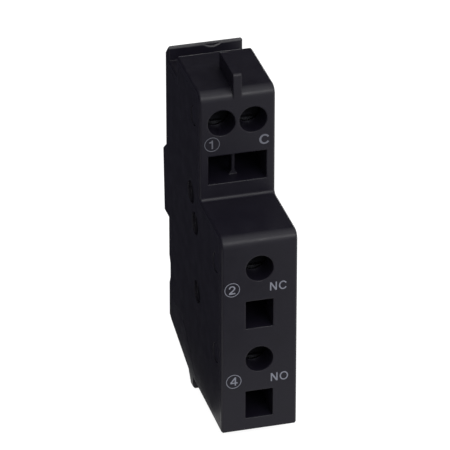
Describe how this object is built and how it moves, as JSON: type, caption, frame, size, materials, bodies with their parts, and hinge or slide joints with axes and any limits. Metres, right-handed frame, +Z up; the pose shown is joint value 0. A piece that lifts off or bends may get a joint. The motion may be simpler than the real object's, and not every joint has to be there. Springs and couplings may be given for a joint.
{
  "type": "auxiliary contact block",
  "caption": "Slim stepped contact block with spring-cage wire terminals, a side cover, a rear push button and a changeover snap switch inside.",
  "frame": {"origin": "centre of the bounding box in X and Y, at its lowest point, the tip of the snap hook", "axes": "+Z up along the block's height, -Y out of the wire-entry faces, +X across the width to the right seen from the front"},
  "size_m": [0.012, 0.037, 0.0571],
  "materials": {
    "housing_black": "moulded glass-filled polyamide, fine grain",
    "cover_black": "moulded polyamide, fine grain",
    "button_black": "moulded acetal, smooth",
    "switch_phenolic": "moulded phenolic, satin",
    "plunger_red": "moulded acetal, smooth",
    "spring_steel": "rolled stainless spring strip",
    "tinned_copper": "tinned copper strip",
    "silver": "silver-nickel contact",
    "beryllium_copper": "rolled beryllium copper strip",
    "mark_grey": "pad-printed light grey ink, satin"
  },
  "bodies": {
    "block": {"main_housing": "housing_black", "side_cover": "cover_black", "return_spring": "spring_steel", "switch_case": "switch_phenolic", "switch_cover": "switch_phenolic", "com_strip": "tinned_copper", "nc_strip": "tinned_copper", "no_strip": "tinned_copper", "nc_contact": "silver", "no_contact": "silver", "common_busbar": "tinned_copper", "nc_busbar": "tinned_copper", "no_busbar": "tinned_copper", "common_clamp_left": "spring_steel", "common_clamp_right": "spring_steel", "nc_clamp": "spring_steel", "no_clamp": "spring_steel"},
    "button": {"actuator_button": "button_black"},
    "plunger": {"switch_plunger": "plunger_red"},
    "blade": {"moving_blade": "beryllium_copper", "snap_spring": "beryllium_copper", "moving_contact": "silver"}
  },
  "joints": [
    {"name": "button_slide", "type": "slide", "parent": "block", "child": "button", "axis": [0, -1, 0], "range_m": [0, 0.001], "stiffness_N_per_m": 400, "springref_m": -0.001, "deforming": ["return_spring"]},
    {"name": "plunger_slide", "type": "slide", "parent": "block", "child": "plunger", "axis": [0, -1, 0], "range_m": [0, 0.001]},
    {"name": "blade_rock", "type": "hinge", "parent": "block", "child": "blade", "pos_m": [-0.0006, 0.0062, 0.03025], "axis": [-1, 0, 0], "range_deg": [0, 2.1]}
  ],
  "couplings": [
    {"joint": "plunger_slide", "follows": "button_slide", "ratio": 1},
    {"joint": "blade_rock", "follows": "button_slide", "rad_per_m": 36}
  ]
}
